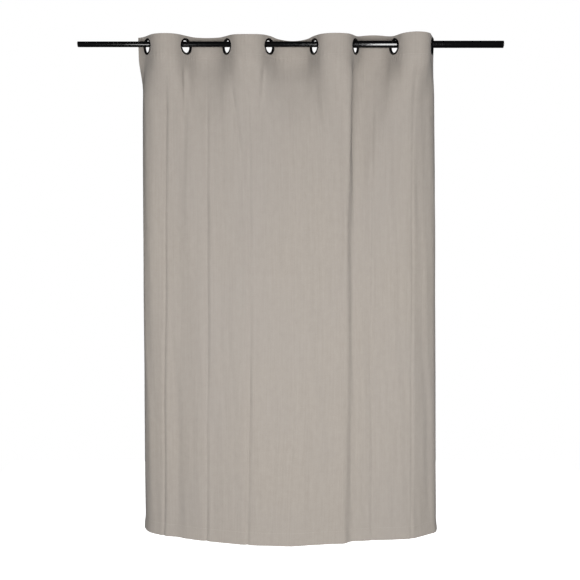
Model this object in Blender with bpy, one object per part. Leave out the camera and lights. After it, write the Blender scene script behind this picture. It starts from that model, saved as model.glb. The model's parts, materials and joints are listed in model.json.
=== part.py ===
"""Eyelet curtain panel on a telescopic rod.

Metres, +Z up. The origin is the middle of the rod's axis: the rod runs along X, the room side of
the cloth looks towards -Y, and the cloth hangs down along -Z.

The cloth is one real sheet. It is divided here at its fold lines only, so that it can be drawn
along the rod: each strip hangs from one eyelet and turns about the vertical fold lines beside it.
"""

import math

import bmesh
import bpy
import numpy as np

# --- rod ---------------------------------------------------------------------------------------
ROD_LEFT_END = -0.727           # outer face of the left plug
ROD_RIGHT_END = 0.731           # outer face of the right plug
OUTER_TUBE_DIAMETER = 0.024
OUTER_TUBE_MOUTH = 0.152        # where the thinner tube comes out
INNER_TUBE_DIAMETER = 0.019
INNER_TUBE_OVERLAP = 0.350      # length of the inner tube inside the outer one
TUBE_WALL = 0.0008
PLUG_FACE = 0.002               # thickness of the plug's visible disc
PLUG_SPIGOT = 0.024             # length of the plug inside its tube
SLEEVE_LENGTH = 0.030
SLEEVE_RIM = 0.0025

# --- cloth -------------------------------------------------------------------------------------
TOP_ABOVE_AXIS = 0.0286         # header's top edge above the rod's axis
DROP = 1.83                     # header's top edge to the hem
CLOTH = 0.0008                  # one layer of cloth
TAPE = 0.0005                   # header stiffening tape
HEADER_DEPTH = 0.071            # the layer that is turned over at the top
HEM_DEPTH = 0.050               # the layer that is turned up at the bottom
FLAT_PITCH = 0.1735             # eyelet to eyelet on the flat cloth
FLAT_MARGIN = 0.0535            # outer eyelet to the side edge on the flat cloth
GATHERED_SPAN = 0.975           # first eyelet to last eyelet along the rod
SPAN_SHIFT = -0.0015            # the gathered cloth's middle along the rod
SPACING = (0.95, 1.01, 1.04, 1.11, 1.01, 0.96, 0.92)    # uneven, as drawn by hand
TILTS = (55, 55, 53, 54, 60, 61, 62, 72)                # degrees, header facet from the rod's line
FOLD_REACH = 0.043              # handle length of the header's fold curves
SETTLE_FROM = 0.045             # depth below the axis where the header's folds start to open
SETTLE_TO = 0.600               # depth where they are fully open

# Feet of the fold lines at the hem: (shift along X after the spread, place along Y).
HEM_SPREAD = 1.10
FOLD_FEET = ((-0.004, 0.036), (0.001, -0.009), (-0.001, -0.039), (-0.014, -0.050),
             (0.014, -0.027), (-0.012, -0.001), (-0.020, 0.009))
LEFT_EDGE_FOOT = (-0.105, 0.120)    # from the first fold line's foot
RIGHT_EDGE_FOOT = (0.118, 0.067)    # from the last fold line's foot

# --- eyelets -----------------------------------------------------------------------------------
EYELET_PLAY = 0.0166            # bore diameter over the outer tube's diameter
EYELET_HANG_GAP = 0.0008        # bore to rod where the eyelet hangs
EYELET_FLANGE = 0.0072          # bore edge to outer edge
EYELET_BARREL = 0.0020          # wall of the barrel that passes through the cloth
EYELET_LIP = 0.0014             # height of a flange at its crown
BORE_LAND = 0.0015              # half the length of the straight bore
BORE_FLARE = 0.0012             # how much wider the bore is at its mouths

# --- label and fits ----------------------------------------------------------------------------
LABEL_WIDTH = 0.030
LABEL_HEIGHT = 0.045
LABEL_ABOVE_HEM = 0.180
LABEL_THICKNESS = 0.0004
GAP = 0.0003                    # between pieces that touch
HINGE_OFFSET = 0.030            # fold hinge lines in front of and behind the rod's axis

ROUND_STEPS = 32
EYELET_STEPS = 24

OUTER_R = OUTER_TUBE_DIAMETER / 2
INNER_R = INNER_TUBE_DIAMETER / 2
BORE_R = (OUTER_TUBE_DIAMETER + EYELET_PLAY) / 2
EYELET_R = BORE_R + EYELET_FLANGE
BARREL_R = BORE_R + EYELET_BARREL
EYELET_Z = -(BORE_R - OUTER_R - EYELET_HANG_GAP)
FACING_N = CLOTH + 2 * GAP + TAPE       # turned-over layer behind the front layer
TAPE_N = FACING_N / 2
HEM_N = CLOTH + 2 * GAP                 # turned-up layer behind the front layer
HEM_Z = TOP_ABOVE_AXIS - DROP
COUNT = len(TILTS)
FACET = 1.055 * EYELET_R / FLAT_PITCH   # half the flat facet round an eyelet, in pitches
MARGIN = FLAT_MARGIN / FLAT_PITCH       # side margin in pitches


def smooth(value):
    """Smoothstep: 0 below 0, 1 above 1, level at both ends."""
    value = min(max(value, 0.0), 1.0)
    return value * value * (3 - 2 * value)


def eyelet_places():
    """Return the eyelets' places along the rod, first to last."""
    steps = np.array(SPACING) / sum(SPACING) * GATHERED_SPAN
    start = SPAN_SHIFT - GATHERED_SPAN / 2
    return start + np.concatenate(([0.0], np.cumsum(steps)))


EYELET_X = eyelet_places()
FOLD_X = (EYELET_X[1:] + EYELET_X[:-1]) / 2


def facet_direction(index):
    """Return the plan direction of the cloth at eyelet INDEX, from left to right."""
    side = -1 if index % 2 == 0 else 1      # even eyelets lead the cloth towards the room
    tilt = math.radians(TILTS[index])
    return np.array((math.cos(tilt), side * math.sin(tilt)))


def eyelet_plan(index):
    """Return eyelet INDEX's place in plan."""
    return np.array((EYELET_X[index], 0.0))


def header_plan(along):
    """Return the header's plan point; ALONG counts eyelets from 0.

    Round each eyelet the header is a flat facet. Two facets are joined by a cubic curve that
    leaves and meets them in their own directions.
    """
    index = min(max(int(math.floor(along)), 0), COUNT - 2)
    share = along - index
    start, end = eyelet_plan(index), eyelet_plan(index + 1)
    leave, meet = facet_direction(index), facet_direction(index + 1)
    if share <= FACET:
        return start + leave * share * FLAT_PITCH
    if share >= 1 - FACET:
        return end - meet * (1 - share) * FLAT_PITCH
    t = (share - FACET) / (1 - 2 * FACET)
    a = start + leave * FACET * FLAT_PITCH
    d = end - meet * FACET * FLAT_PITCH
    b, c = a + leave * FOLD_REACH, d - meet * FOLD_REACH
    return (1 - t) ** 3 * a + 3 * (1 - t) ** 2 * t * b + 3 * (1 - t) * t * t * c + t ** 3 * d


def fold_foot(index, depth):
    """Return the plan point of fold line INDEX where the cloth has settled, at DEPTH (0 to 1)."""
    shift, back = FOLD_FEET[index]
    foot = np.array((FOLD_X[index] * HEM_SPREAD + shift, back))
    return (1 - depth) * np.array((FOLD_X[index], 0.0)) + depth * foot


def edge_foot(side, depth):
    """Return the plan point of the left (SIDE 0) or right (SIDE 1) edge of the settled cloth."""
    if side == 0:
        top = header_plan(-MARGIN)
        foot = fold_foot(0, 1.0) + np.array(LEFT_EDGE_FOOT)
    else:
        top = header_plan(COUNT - 1 + MARGIN)
        foot = fold_foot(COUNT - 2, 1.0) + np.array(RIGHT_EDGE_FOOT)
    return (1 - depth) * top + depth * foot


def settled_plan(along, depth):
    """Return the plan point of the settled cloth.

    It is a soft polygon: a curve from the middle of one side to the middle of the next, drawn
    towards the corner at the fold line between them.
    """
    share_of_margin = MARGIN / (MARGIN + 0.5)

    def middle(index):
        if index == 0:
            return (1 - share_of_margin) * edge_foot(0, depth) + share_of_margin * fold_foot(0, depth)
        if index == COUNT - 1:
            last = fold_foot(COUNT - 2, depth)
            return (1 - share_of_margin) * edge_foot(1, depth) + share_of_margin * last
        return (fold_foot(index - 1, depth) + fold_foot(index, depth)) / 2

    if along < 0:
        return middle(0) + (edge_foot(0, depth) - middle(0)) * (-along / MARGIN)
    if along > COUNT - 1:
        share = (along - COUNT + 1) / MARGIN
        return middle(COUNT - 1) + (edge_foot(1, depth) - middle(COUNT - 1)) * share
    index = min(int(math.floor(along)), COUNT - 2)
    t = along - index
    a, b, c = middle(index), fold_foot(index, depth), middle(index + 1)
    return (1 - t) ** 2 * a + 2 * (1 - t) * t * b + t * t * c


def cloth_plan(along, z):
    """Return the cloth's plan point at height Z: the header's plan opening into the settled one."""
    opened = smooth((-z - SETTLE_FROM) / (SETTLE_TO - SETTLE_FROM))
    depth = min(max(z / HEM_Z, 0.0), 1.0)
    return (1 - opened) * header_plan(along) + opened * settled_plan(along, depth)


def cloth_point(along, z, behind):
    """Return a point on the cloth, BEHIND metres off its front layer's middle."""
    step = 0.002
    ahead, back = cloth_plan(along + step, z), cloth_plan(along - step, z)
    tangent = (ahead - back) / np.linalg.norm(ahead - back)
    place = cloth_plan(along, z) + behind * np.array((-tangent[1], tangent[0]))
    return (place[0], place[1], z)


def paint(obj, colour, roughness, metallic):
    """Give OBJ its own Principled material."""
    material = bpy.data.materials.new(obj.name)
    material.use_nodes = True
    shader = material.node_tree.nodes["Principled BSDF"]
    shader.inputs["Base Color"].default_value = (*colour, 1.0)
    shader.inputs["Roughness"].default_value = roughness
    shader.inputs["Metallic"].default_value = metallic
    obj.data.materials.append(material)


BLACK_METAL = ((0.008, 0.008, 0.009), 0.22, 0.9)
BLACK_PLASTIC = ((0.010, 0.010, 0.011), 0.32, 0.0)
LINEN = ((0.43, 0.385, 0.34), 0.85, 0.0)
WHITE_TAPE = ((0.80, 0.78, 0.74), 0.8, 0.0)


def add_object(name, mesh_source, finish, parent=None, place=(0, 0, 0), turn=0.0):
    """Make a node from a bmesh, with its place given from its parent's origin."""
    mesh = bpy.data.meshes.new(name)
    mesh_source.to_mesh(mesh)
    mesh_source.free()
    mesh.shade_smooth()
    mesh.set_sharp_from_angle(angle=math.radians(35))
    obj = bpy.data.objects.new(name, mesh)
    obj.location = place
    obj.rotation_euler = (0, 0, turn)
    obj.parent = parent
    bpy.context.collection.objects.link(obj)
    if finish is not None:
        paint(obj, *finish)
    return obj


def add_pivot(name, x, y):
    """Make the empty that a moving body's pieces hang from, on its joint's axis."""
    pivot = bpy.data.objects.new(name, None)
    pivot.location = (x, y, 0)
    bpy.context.collection.objects.link(pivot)
    return pivot


def turned(profile, steps, axis):
    """Spin a closed outline of (distance along the axis, radius) into a solid."""
    bm = bmesh.new()
    along = np.array(axis)
    out = np.array((0, 0, 1.0))
    verts = [bm.verts.new(along * place + out * radius) for place, radius in profile]
    edges = [bm.edges.new((verts[i - 1], verts[i])) for i in range(len(verts))]
    bmesh.ops.spin(bm, geom=verts + edges, cent=(0, 0, 0), axis=axis, angle=2 * math.pi,
                   steps=steps, use_merge=True)
    bmesh.ops.remove_doubles(bm, verts=bm.verts, dist=1e-6)
    bmesh.ops.dissolve_degenerate(bm, edges=bm.edges, dist=1e-6)
    bmesh.ops.recalc_face_normals(bm, faces=bm.faces)
    return bm


def tube_outline(start, end, radius):
    """Return the outline of a tube's wall."""
    return ((start, radius - TUBE_WALL), (end, radius - TUBE_WALL), (end, radius), (start, radius))


def add_rod():
    """Build the outer tube, its sleeve and plug, and the inner tube with its plug."""
    x_axis = (1.0, 0, 0)
    outer_start = OUTER_TUBE_MOUTH
    outer_end = ROD_RIGHT_END - PLUG_FACE - GAP
    add_object("rod_outer_tube", turned(tube_outline(outer_start, outer_end, OUTER_R),
                                        ROUND_STEPS, x_axis), BLACK_METAL)
    add_plug("rod_plug_right", ROD_RIGHT_END, -1, OUTER_R, None)

    bore = INNER_R + GAP
    body = OUTER_R - TUBE_WALL - GAP
    rim_end = outer_start - GAP
    sleeve = ((rim_end - SLEEVE_RIM, bore), (outer_start + SLEEVE_LENGTH, bore),
              (outer_start + SLEEVE_LENGTH, body), (rim_end, body),
              (rim_end, OUTER_R), (rim_end - SLEEVE_RIM, OUTER_R))
    add_object("rod_guide_sleeve", turned(sleeve, ROUND_STEPS, x_axis), BLACK_PLASTIC)

    slider = add_pivot("rod_inner_pivot", 0, 0)
    inner_start = ROD_LEFT_END + PLUG_FACE + GAP
    inner_end = OUTER_TUBE_MOUTH + INNER_TUBE_OVERLAP
    add_object("rod_inner_tube", turned(tube_outline(inner_start, inner_end, INNER_R),
                                        ROUND_STEPS, x_axis), BLACK_METAL, slider)
    add_plug("rod_plug_left", ROD_LEFT_END, 1, INNER_R, slider)


def add_plug(name, face, inward, radius, parent):
    """Build a flat end plug: a disc as wide as its tube, and a spigot inside the tube."""
    spigot = radius - TUBE_WALL - GAP
    disc = face + inward * PLUG_FACE
    outline = ((face, 0), (face, radius), (disc, radius), (disc, spigot),
               (disc + inward * PLUG_SPIGOT, spigot), (disc + inward * PLUG_SPIGOT, 0))
    add_object(name, turned(outline, ROUND_STEPS, (1.0, 0, 0)), BLACK_PLASTIC, parent)


def section_path():
    """Return the cloth's centre line in section, as (behind, z), from inside the hem to the facing.

    It runs down behind the front layer, round the hem, up the front layer, over the top and
    down the turned-over facing.
    """
    hem_r, top_r = HEM_N / 2, FACING_N / 2
    hem_centre = HEM_Z + CLOTH / 2 + hem_r
    top_centre = TOP_ABOVE_AXIS - CLOTH / 2 - top_r
    path = [(HEM_N, HEM_Z + HEM_DEPTH), (HEM_N, hem_centre)]
    path.append((hem_r, hem_centre - hem_r))
    path.append((0.0, hem_centre))
    path.append((0.0, HEM_Z + HEM_DEPTH))
    settled = np.linspace(HEM_Z + HEM_DEPTH, -SETTLE_TO, 4)[1:]
    path += [(0.0, float(z)) for z in settled]
    opening = np.linspace(SETTLE_TO, SETTLE_FROM, 6)[1:]
    path += [(0.0, -float(depth)) for depth in opening]
    path.append((0.0, top_centre))
    path.append((top_r, top_centre + top_r))
    path.append((FACING_N, top_centre))
    path.append((FACING_N, TOP_ABOVE_AXIS - HEADER_DEPTH))
    return path


def add_layer(name, stations, path, thickness, finish, pivot):
    """Build a layer of cloth: a section path with a thickness, carried along the stations."""
    line = np.array(path)
    steps = np.diff(line, axis=0)
    steps /= np.linalg.norm(steps, axis=1)[:, None]
    before = np.vstack((steps[:1], steps))
    after = np.vstack((steps, steps[-1:]))
    mean = before + after
    mean /= np.linalg.norm(mean, axis=1)[:, None]
    stretch = 1 / np.maximum((mean * after).sum(axis=1), 0.5)
    normal = np.column_stack((-mean[:, 1], mean[:, 0])) * (thickness / 2 * stretch)[:, None]
    loop = np.vstack((line + normal, (line - normal)[::-1]))

    bm = bmesh.new()
    rings = []
    for along in stations:
        ring = []
        for behind, z in loop:
            x, y, height = cloth_point(along, z, behind)
            ring.append(bm.verts.new((x - pivot.location.x, y - pivot.location.y, height)))
        rings.append(ring)
    count = len(loop)
    for left, right in zip(rings, rings[1:]):
        for i in range(count):
            j = (i + 1) % count
            bm.faces.new((left[i], left[j], right[j], right[i]))
    for ring in (rings[0], rings[-1]):
        for i in range(len(line) - 1):
            bm.faces.new((ring[i], ring[i + 1], ring[count - 2 - i], ring[count - 1 - i]))
    bmesh.ops.triangulate(bm, faces=bm.faces)
    bmesh.ops.recalc_face_normals(bm, faces=bm.faces)
    return add_object(name, bm, finish, pivot)


def strip_stations(index):
    """Return where a strip's section is placed, from its left fold line to its right one."""
    seam = GAP / FLAT_PITCH
    bends = (0.5 - seam, 0.39, 0.28)
    left = [MARGIN] if index == 0 else list(bends)
    right = [MARGIN] if index == COUNT - 1 else list(bends)
    places = [-share for share in left] + [-FACET, FACET] + right[::-1]
    return [index + share for share in places]


def cut(obj, cutter):
    """Cut a hole with a Boolean."""
    modifier = obj.modifiers.new("eyelet_hole", "BOOLEAN")
    modifier.operation = "DIFFERENCE"
    modifier.solver = "EXACT"
    modifier.object = cutter


def eyelet_outlines():
    """Return the front and back ring outlines as (behind, radius) from the stack's middle."""
    half = FACING_N / 2 + CLOTH / 2 + GAP       # stack's middle to the face of a flange
    crown = half + EYELET_LIP
    barrel_end = half + GAP
    mouth = BORE_R + BORE_FLARE
    front = ((-BORE_LAND, BORE_R), (BORE_LAND, BORE_R), (barrel_end, BORE_R + BORE_FLARE / 2),
             (barrel_end, BARREL_R), (-half, BARREL_R), (-half, EYELET_R),
             (-crown, EYELET_R - EYELET_FLANGE * 0.35), (-crown, mouth + BORE_FLARE * 0.6),
             (-half - EYELET_LIP * 0.5, mouth))
    hold = BARREL_R + GAP
    back = ((half, hold), (crown, hold + BORE_FLARE * 0.4),
            (crown, EYELET_R - EYELET_FLANGE * 0.35), (half, EYELET_R))
    return front, back


def add_strip(index):
    """Build one strip of the curtain with its tape, its eyelet and its turning axis."""
    number = index + 1
    is_last = index == COUNT - 1
    if is_last:
        pivot = add_pivot(f"strip_{number}_pivot", EYELET_X[index], 0.0)
    else:
        side = -1 if index % 2 == 0 else 1
        pivot = add_pivot(f"strip_{number}_pivot", FOLD_X[index], side * HINGE_OFFSET)

    stations = strip_stations(index)
    cloth = add_layer(f"cloth_strip_{number}", stations, section_path(), CLOTH, LINEN, pivot)
    tape_top = TOP_ABOVE_AXIS - CLOTH - GAP - TAPE
    tape_path = [(TAPE_N, TOP_ABOVE_AXIS - HEADER_DEPTH + 0.002), (TAPE_N, tape_top)]
    tape = add_layer(f"header_tape_{number}", stations, tape_path, TAPE, WHITE_TAPE, pivot)

    direction = facet_direction(index)
    turn = math.atan2(direction[1], direction[0])
    centre = eyelet_plan(index) + TAPE_N * np.array((-direction[1], direction[0]))
    place = (centre[0] - pivot.location.x, centre[1] - pivot.location.y, EYELET_Z)
    front, back = eyelet_outlines()
    add_object(f"eyelet_front_{number}", turned(front, EYELET_STEPS, (0, 1.0, 0)),
               BLACK_METAL, pivot, place, turn)
    add_object(f"eyelet_back_{number}", turned(back, EYELET_STEPS, (0, 1.0, 0)),
               BLACK_METAL, pivot, place, turn)

    hole_r = BARREL_R + GAP
    reach = 0.010
    punch = turned(((-reach, 0), (-reach, hole_r), (reach, hole_r), (reach, 0)),
                   EYELET_STEPS, (0, 1.0, 0))
    cutter = add_object(f"hole_punch_{number}", punch, None, pivot, place, turn)
    cutter.hide_render = True
    cutter.display_type = "WIRE"
    cut(cloth, cutter)
    cut(tape, cutter)
    if is_last:
        add_label(pivot)


def add_label(pivot):
    """Build the blank label behind the right side margin."""
    half = LABEL_WIDTH / FLAT_PITCH / 2
    middle = COUNT - 1 + MARGIN / 2
    behind = CLOTH / 2 + GAP + LABEL_THICKNESS
    low = HEM_Z + LABEL_ABOVE_HEM
    path = [(behind, low), (behind, low + LABEL_HEIGHT)]
    add_layer("care_label", [middle - half, middle + half], path, LABEL_THICKNESS, WHITE_TAPE, pivot)


def main():
    """Clear the scene and build the rod and the eight strips."""
    for obj in list(bpy.data.objects):
        bpy.data.objects.remove(obj)
    add_rod()
    for index in range(COUNT):
        add_strip(index)


main()
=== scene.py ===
"""Looks of an eyelet curtain panel on a telescopic rod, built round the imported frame.

The cloth is one surface given by a function of two parameters: the place along the cut cloth,
counted in eyelet pitches from the first eyelet, and the height. Its header runs in deep folds
between flat facets at the eyelets, and below the header the folds open into a soft polygon.
Lengths are in metres, angles in degrees and powers in watts, unless a docstring says otherwise.
"""

import json
import logging
import math
from dataclasses import dataclass, field
from enum import Enum
from typing import Iterable, Sequence

import bpy
import numpy as np
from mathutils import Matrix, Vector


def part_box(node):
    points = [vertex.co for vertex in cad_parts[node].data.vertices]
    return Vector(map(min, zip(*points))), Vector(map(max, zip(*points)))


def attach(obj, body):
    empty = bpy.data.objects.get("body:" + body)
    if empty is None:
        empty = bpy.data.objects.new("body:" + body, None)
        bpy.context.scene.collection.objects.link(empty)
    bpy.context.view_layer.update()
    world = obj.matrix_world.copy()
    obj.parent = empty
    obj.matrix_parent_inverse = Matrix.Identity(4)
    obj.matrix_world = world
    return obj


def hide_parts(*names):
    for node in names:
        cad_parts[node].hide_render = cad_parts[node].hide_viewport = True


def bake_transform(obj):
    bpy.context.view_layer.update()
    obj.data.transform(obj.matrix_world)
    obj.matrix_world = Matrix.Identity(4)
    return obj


Array = np.ndarray
Colour = tuple[float, float, float]
Triple = tuple[float, float, float]

LOG = logging.getLogger("curtain")
WHITE = (1.0, 1.0, 1.0, 1.0)
ORIGIN = np.zeros(3)
ALONG_ROD = np.array((1.0, 0.0, 0.0))


# ------------------------------------------------------------------------------------------------
# Shader maths
# ------------------------------------------------------------------------------------------------
class Wire:
    """A shader socket that takes part in arithmetic by adding Math nodes."""

    def __init__(self, tree: "Tree", socket: bpy.types.NodeSocket) -> None:
        """Wrap a socket of a tree."""
        self.tree = tree
        self.socket = socket

    def _math(self, operation: str, first: "Wire | float", second: "Wire | float" = 0.0) -> "Wire":
        """Add a Math node on two values."""
        return self.tree.node("ShaderNodeMath", {"operation": operation}, {0: first, 1: second})

    def __add__(self, other: "Wire | float") -> "Wire":
        """Return the sum."""
        return self._math("ADD", self, other)

    __radd__ = __add__

    def __sub__(self, other: "Wire | float") -> "Wire":
        """Return the difference."""
        return self._math("SUBTRACT", self, other)

    def __rsub__(self, other: float) -> "Wire":
        """Return the difference of a number and this value."""
        return self._math("SUBTRACT", other, self)

    def __mul__(self, other: "Wire | float") -> "Wire":
        """Return the product."""
        return self._math("MULTIPLY", self, other)

    __rmul__ = __mul__

    def sine(self) -> "Wire":
        """Return the sine of this value."""
        return self._math("SINE", self)

    def clipped(self, low: float, high: float) -> "Wire":
        """Return this value moved from LOW..HIGH to 0..1 and kept inside it."""
        return self.tree.node("ShaderNodeMapRange", {"clamp": True},
                              {"Value": self, "From Min": low, "From Max": high})


class Tree:
    """A node tree."""

    def __init__(self, nodes: bpy.types.NodeTree) -> None:
        """Wrap a tree."""
        self.nodes = nodes

    def node(self, kind: str, settings: dict[str, object],
             values: dict[int | str, object], output: int | str = 0) -> Wire:
        """Add any node.

        Args:
            kind: The node's type.
            settings: Its properties, which are set first.
            values: Numbers, colours or wires for its inputs, by index or name.
            output: Which output to return.

        Returns:
            The output, ready for arithmetic.
        """
        made = self.nodes.nodes.new(kind)
        for key, value in settings.items():
            setattr(made, key, value)
        for key, value in values.items():
            if isinstance(value, Wire):
                self.nodes.links.new(value.socket, made.inputs[key])
            else:
                made.inputs[key].default_value = value
        return Wire(self, made.outputs[output])

    def noise(self, vector: Wire, scale: Triple, detail: float) -> Wire:
        """Return fractal noise, about 0.5, on a vector scaled axis by axis."""
        scaled = self.node("ShaderNodeVectorMath", {"operation": "MULTIPLY"}, {0: vector, 1: scale})
        return self.node("ShaderNodeTexNoise", {}, {
            "Vector": scaled, "Scale": 1.0, "Detail": detail, "Roughness": 0.55})

    def speckle(self, scale: float, detail: float) -> Wire:
        """Return noise on the object's own coordinates, the same along each axis."""
        return self.noise(self.place(), (scale, scale, scale), detail)

    def mixed(self, factor: Wire, first: object, second: object) -> Wire:
        """Return a colour between two colours."""
        return self.node("ShaderNodeMix", {"data_type": "RGBA"},
                         {"Factor": factor, 6: first, 7: second}, 2)

    def uv(self) -> Wire:
        """Return the piece's own UV map as a vector, in metres of cloth."""
        return self.node("ShaderNodeUVMap", {"uv_map": "cut"}, {})

    def place(self) -> Wire:
        """Return the place in the object's own coordinates."""
        return self.node("ShaderNodeTexCoord", {}, {}, "Object")

    def split(self, vector: Wire) -> tuple[Wire, Wire]:
        """Return a vector's first two parts."""
        parts = self.nodes.nodes.new("ShaderNodeSeparateXYZ")
        self.nodes.links.new(vector.socket, parts.inputs[0])
        return Wire(self, parts.outputs[0]), Wire(self, parts.outputs[1])


class Shader(Tree):
    """A material's node tree with a Principled shader at its end."""

    def __init__(self, name: str) -> None:
        """Start a material with an empty tree but for its shader and output.

        Args:
            name: The material's name.
        """
        self.material = bpy.data.materials.new(name)
        self.material.use_nodes = True
        super().__init__(self.material.node_tree)
        self.principled = self.nodes.nodes["Principled BSDF"]

    def feed(self, **inputs: object) -> None:
        """Set the shader's inputs.

        Args:
            inputs: Numbers, colours or wires by input; underscores in a name stand for spaces.
        """
        for key, value in inputs.items():
            socket = self.principled.inputs[key.replace("_", " ")]
            if isinstance(value, Wire):
                self.nodes.links.new(value.socket, socket)
            else:
                socket.default_value = value

    def bump(self, height: Wire, strength: float, distance: float) -> None:
        """Feed the shader's normal from a height in 0..1."""
        self.feed(Normal=self.node("ShaderNodeBump", {}, {
            "Height": height, "Strength": strength, "Distance": distance}))


# ------------------------------------------------------------------------------------------------
# Finishes
# ------------------------------------------------------------------------------------------------
def rgba(colour: Colour) -> tuple[float, float, float, float]:
    """Return a colour with full alpha."""
    return (*colour, 1.0)


@dataclass(frozen=True)
class Slub:
    """An unevenness of the cloth: noise stretched along its threads.

    Its scale counts repeats in a metre across, down and through the cloth. Tone and height are
    its parts in the cloth's tone and in its bump.
    """

    scale: Triple
    detail: float
    tone: float
    height: float = 0.0


@dataclass(frozen=True)
class LinenFinish:
    """A plain-woven linen-look cloth: long streaks, mottle, patches, and slubs both ways."""

    name: str = "linen_cloth"
    pale: Colour = (0.362, 0.3265, 0.290)
    deep: Colour = (0.288, 0.257, 0.226)
    cool: Colour = (0.318, 0.292, 0.273)
    slubs: tuple[Slub, ...] = (
        Slub((170.0, 5.0, 1.0), 3.0, tone=0.42),
        Slub((260.0, 190.0, 1.0), 2.0, tone=0.32),
        Slub((48.0, 34.0, 1.0), 3.0, tone=0.38),
        Slub((1500.0, 22.0, 1.0), 3.0, tone=0.30, height=0.55),
        Slub((26.0, 1300.0, 1.0), 3.0, tone=0.28, height=0.45),
    )
    tone_shift: float = -0.35
    tone_range: tuple[float, float] = (0.22, 0.78)
    cloud_scale: Triple = (2.6, 2.6, 1.6)
    cloud_share: float = 0.45
    yarn: float = 0.0008
    yarn_height: float = 0.30
    bump_strength: float = 0.55
    bump_depth: float = 0.0006
    roughness: float = 0.92
    sheen: float = 0.12
    sheen_roughness: float = 0.6
    specular: float = 0.22

    def material(self) -> bpy.types.Material:
        """Build the material.

        The weave is the product of two sines, one along each thread. The tone is the weighted
        sum of the slubs, and broad clouds of a cooler colour lie over it.

        Returns:
            The material.
        """
        shader = Shader(self.name)
        uv = shader.uv()
        across, down = shader.split(uv)
        turn = math.pi / self.yarn
        weave = (across * turn).sine() * (down * turn).sine()
        slubs = [(slub, shader.noise(uv, slub.scale, slub.detail)) for slub in self.slubs]
        tone = sum((noise * slub.tone for slub, noise in slubs), start=self.tone_shift)
        base = shader.mixed(tone.clipped(*self.tone_range), rgba(self.deep), rgba(self.pale))
        cloud = shader.noise(shader.place(), self.cloud_scale, 2.0)
        tinted = shader.mixed(cloud.clipped(0.35, 0.8) * self.cloud_share, base, rgba(self.cool))
        shader.feed(Base_Color=tinted, Roughness=self.roughness, Sheen_Weight=self.sheen,
                    Sheen_Roughness=self.sheen_roughness, Specular_IOR_Level=self.specular)
        height = sum((noise * slub.height for slub, noise in slubs if slub.height),
                     start=weave * self.yarn_height)
        shader.bump(height.clipped(-0.1, 1.1), self.bump_strength, self.bump_depth)
        return shader.material


@dataclass(frozen=True)
class GlossFinish:
    """Gloss black lacquer over metal, with faint orange peel and handling marks."""

    name: str
    roughness: float
    specular: float
    colour: Colour = (0.003, 0.003, 0.0034)
    dust: Colour = (0.012, 0.012, 0.013)
    dust_scale: float = 220.0
    dust_share: float = 0.25
    rub_scale: float = 60.0
    wear: float = 0.06
    ripple_scale: float = 900.0

    def material(self) -> bpy.types.Material:
        """Build the material: roughness varies with rub marks, the surface has a fine ripple.

        Returns:
            The material.
        """
        shader = Shader(self.name)
        dust = shader.speckle(self.dust_scale, 5.0).clipped(0.55, 0.95) * self.dust_share
        rub = shader.speckle(self.rub_scale, 4.0).clipped(0.3, 0.9) * self.wear
        shader.feed(Base_Color=shader.mixed(dust, rgba(self.colour), rgba(self.dust)),
                    Roughness=rub + self.roughness, Specular_IOR_Level=self.specular)
        shader.bump(shader.speckle(self.ripple_scale, 2.0), 0.05, 0.0002)
        return shader.material


@dataclass(frozen=True)
class PlasticFinish:
    """Satin black moulded plastic."""

    name: str = "satin_black_plastic"
    colour: Colour = (0.010, 0.010, 0.011)
    worn: Colour = (0.02, 0.02, 0.021)
    worn_share: float = 0.3
    roughness: float = 0.34
    roughness_change: float = 0.12
    grain_scale: float = 1600.0

    def material(self) -> bpy.types.Material:
        """Build the material: a fine moulded grain.

        Returns:
            The material.
        """
        shader = Shader(self.name)
        grain = shader.speckle(self.grain_scale, 2.0)
        tone = shader.mixed(grain.clipped(0.3, 0.8) * self.worn_share, rgba(self.colour), rgba(self.worn))
        shader.feed(Base_Color=tone, Roughness=grain * self.roughness_change + self.roughness)
        shader.bump(grain, 0.12, 0.0002)
        return shader.material


@dataclass(frozen=True)
class ThreadFinish:
    """Twisted sewing thread."""

    name: str = "sewing_thread"
    colour: Colour = (0.400, 0.358, 0.318)
    highlight: float = 1.25
    fibre_scale: Triple = (2600.0, 2600.0, 1800.0)
    roughness: float = 0.7

    def material(self) -> bpy.types.Material:
        """Build the material: a fine change of tone from stitch to stitch.

        Returns:
            The material.
        """
        shader = Shader(self.name)
        fibre = shader.noise(shader.place(), self.fibre_scale, 2.0)
        pale = tuple(self.highlight * part for part in self.colour)
        tone = shader.mixed(fibre.clipped(0.3, 0.8), rgba(self.colour), rgba(pale))
        shader.feed(Base_Color=tone, Roughness=self.roughness)
        shader.bump(fibre, 0.3, 0.0002)
        return shader.material


@dataclass(frozen=True)
class RibbonFinish:
    """White woven ribbon or tape. Its ribs' turns are in radians for a metre."""

    name: str = "white_ribbon"
    colour: Colour = (0.78, 0.76, 0.72)
    shade: Colour = (0.66, 0.64, 0.60)
    shade_share: float = 0.25
    turn_across: float = 5200.0
    turn_down: float = 7800.0
    roughness: float = 0.55
    sheen: float = 0.15

    def material(self) -> bpy.types.Material:
        """Build the material: fine ribs, the product of a sine each way.

        Returns:
            The material.
        """
        shader = Shader(self.name)
        across, down = shader.split(shader.uv())
        ribs = ((down * self.turn_down).sine() * (across * self.turn_across).sine()).clipped(-1.0, 1.0)
        tone = shader.mixed(ribs * self.shade_share, rgba(self.colour), rgba(self.shade))
        shader.feed(Base_Color=tone, Roughness=self.roughness, Sheen_Weight=self.sheen)
        shader.bump(ribs, 0.25, 0.0002)
        return shader.material


# ------------------------------------------------------------------------------------------------
# Curves and meshes
# ------------------------------------------------------------------------------------------------
def smooth(value: Array | float) -> Array:
    """Return the smoothstep of a value: 0 below 0, 1 above 1, level at both ends."""
    value = np.clip(value, 0.0, 1.0)
    return value * value * (3.0 - 2.0 * value)


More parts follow.
